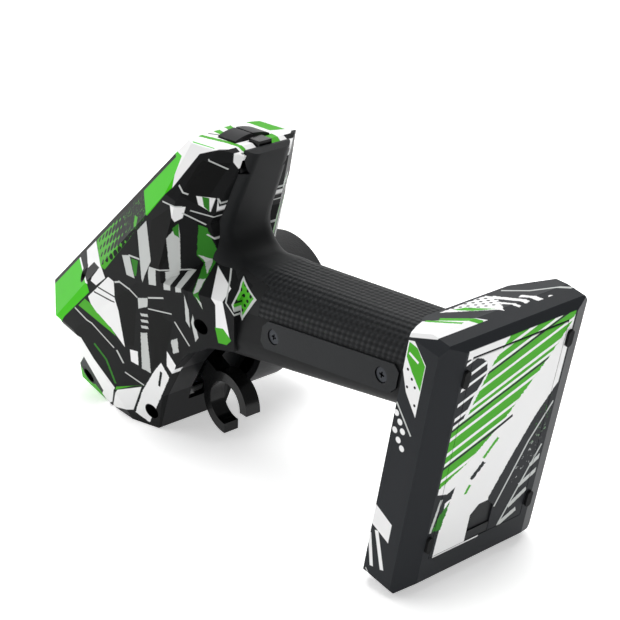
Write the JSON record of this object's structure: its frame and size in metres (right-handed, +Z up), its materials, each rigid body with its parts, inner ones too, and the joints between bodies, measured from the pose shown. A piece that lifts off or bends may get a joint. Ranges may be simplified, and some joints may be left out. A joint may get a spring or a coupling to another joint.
{
  "type": "radio transmitter controller",
  "caption": "Pistol-grip model car radio transmitter with a side steering wheel, finger-loop trigger, raked grip and battery foot, lying on its trigger side.",
  "frame": {"origin": "under the middle of the bounding box, on the surface the transmitter lies on", "axes": "+X from the head towards the foot, +Y towards the steering wheel, +Z up as it lies on its trigger side"},
  "size_m": [0.1878, 0.0688, 0.0976],
  "materials": {
    "cell_wrap": "satin",
    "circuit": "solder-masked",
    "dark_abs": "fine matte moulded ABS",
    "door_abs": "matte ABS with printed film graphics",
    "foam": "closed-cell foam",
    "foot_abs": "matte moulded ABS, graphics on the bevels",
    "grip_tpe": "soft-touch skin with a fine diamond weave relief",
    "key_plastic": "satin",
    "led": "clear",
    "pad_rubber": "matte",
    "pot_case": "satin",
    "screw_steel": "blackened",
    "shell_abs": "matte moulded ABS with printed film graphics in green, white and black",
    "spring_steel": "bright",
    "wheel_abs": "satin"
  },
  "bodies": {
    "housing": {"base_tray": "foot_abs", "base_cover": "dark_abs", "base_screws": "screw_steel", "foot_pads": "pad_rubber", "battery_cradle": "dark_abs", "battery_contacts": "spring_steel", "cell_1": "cell_wrap", "cell_2": "cell_wrap", "cell_3": "cell_wrap", "left_shell": "shell_abs", "right_shell": "shell_abs", "shell_screws": "screw_steel", "grip_cover": "grip_tpe", "side_plate_left": "dark_abs", "side_plate_right": "dark_abs", "plate_screws": "screw_steel", "trigger_hood": "dark_abs", "thumb_panel": "shell_abs", "switch_board": "circuit", "led_lenses": "led", "control_panel": "shell_abs", "circuit_board": "circuit", "antenna": "circuit", "steering_boss": "dark_abs", "steering_pot": "pot_case", "steering_spring": "spring_steel", "trigger_pot": "pot_case", "trigger_spring": "spring_steel"},
    "steering": {"wheel_hub": "wheel_abs", "wheel_grip": "foam", "wheel_cap": "wheel_abs", "wheel_shaft": "screw_steel"},
    "trigger": {"trigger_loop": "dark_abs", "trigger_shaft": "screw_steel"},
    "rocker": {"rocker_switch": "key_plastic"},
    "button": {"square_button": "key_plastic"},
    "door": {"battery_door": "door_abs", "door_latch": "dark_abs"},
    "power": {"power_switch": "key_plastic"},
    "steering_trim_knob": {"steering_trim": "key_plastic"},
    "throttle_trim_knob": {"throttle_trim": "key_plastic"},
    "rate_knob_body": {"rate_knob": "key_plastic"}
  },
  "joints": [
    {"name": "steering_turn", "type": "hinge", "parent": "housing", "child": "steering", "pos_m": [-0.04133, 0.02565, 0.02921], "axis": [0, -1, 0], "range_deg": [-35, 35], "stiffness_Nm_per_rad": 0.03},
    {"name": "trigger_swing", "type": "hinge", "parent": "housing", "child": "trigger", "pos_m": [-0.03949, -0.00835, 0.02729], "axis": [0, -1, 0], "range_deg": [-7, 16], "stiffness_Nm_per_rad": 0.05},
    {"name": "rocker_tilt", "type": "hinge", "parent": "housing", "child": "rocker", "pos_m": [-0.01144, -0.00835, 0.0929], "axis": [-0.9999, 0, -0.0124], "range_deg": [-6, 6], "stiffness_Nm_per_rad": 0.005},
    {"name": "button_press", "type": "slide", "parent": "housing", "child": "button", "axis": [0.0124, 0, -0.9999], "range_m": [0, 0.0007], "stiffness_N_per_m": 300},
    {"name": "door_swing", "type": "hinge", "parent": "housing", "child": "door", "pos_m": [0.09236, -0.00835, 0.06988], "axis": [0, -1, 0], "range_deg": [0, 80]},
    {"name": "power_slide", "type": "slide", "parent": "housing", "child": "power", "axis": [-0.7479, 0, -0.6638], "range_m": [0, 0.007]},
    {"name": "steering_trim_turn", "type": "hinge", "parent": "housing", "child": "steering_trim_knob", "pos_m": [-0.03774, -0.00295, 0.08081], "axis": [-0.6638, 0, 0.7479], "range_deg": [-135, 135]},
    {"name": "throttle_trim_turn", "type": "hinge", "parent": "housing", "child": "throttle_trim_knob", "pos_m": [-0.04746, -0.00295, 0.07218], "axis": [-0.6638, 0, 0.7479], "range_deg": [-135, 135]},
    {"name": "rate_knob_turn", "type": "hinge", "parent": "housing", "child": "rate_knob_body", "pos_m": [-0.05868, -0.00435, 0.06222], "axis": [-0.6638, 0, 0.7479], "range_deg": [-135, 135]}
  ]
}
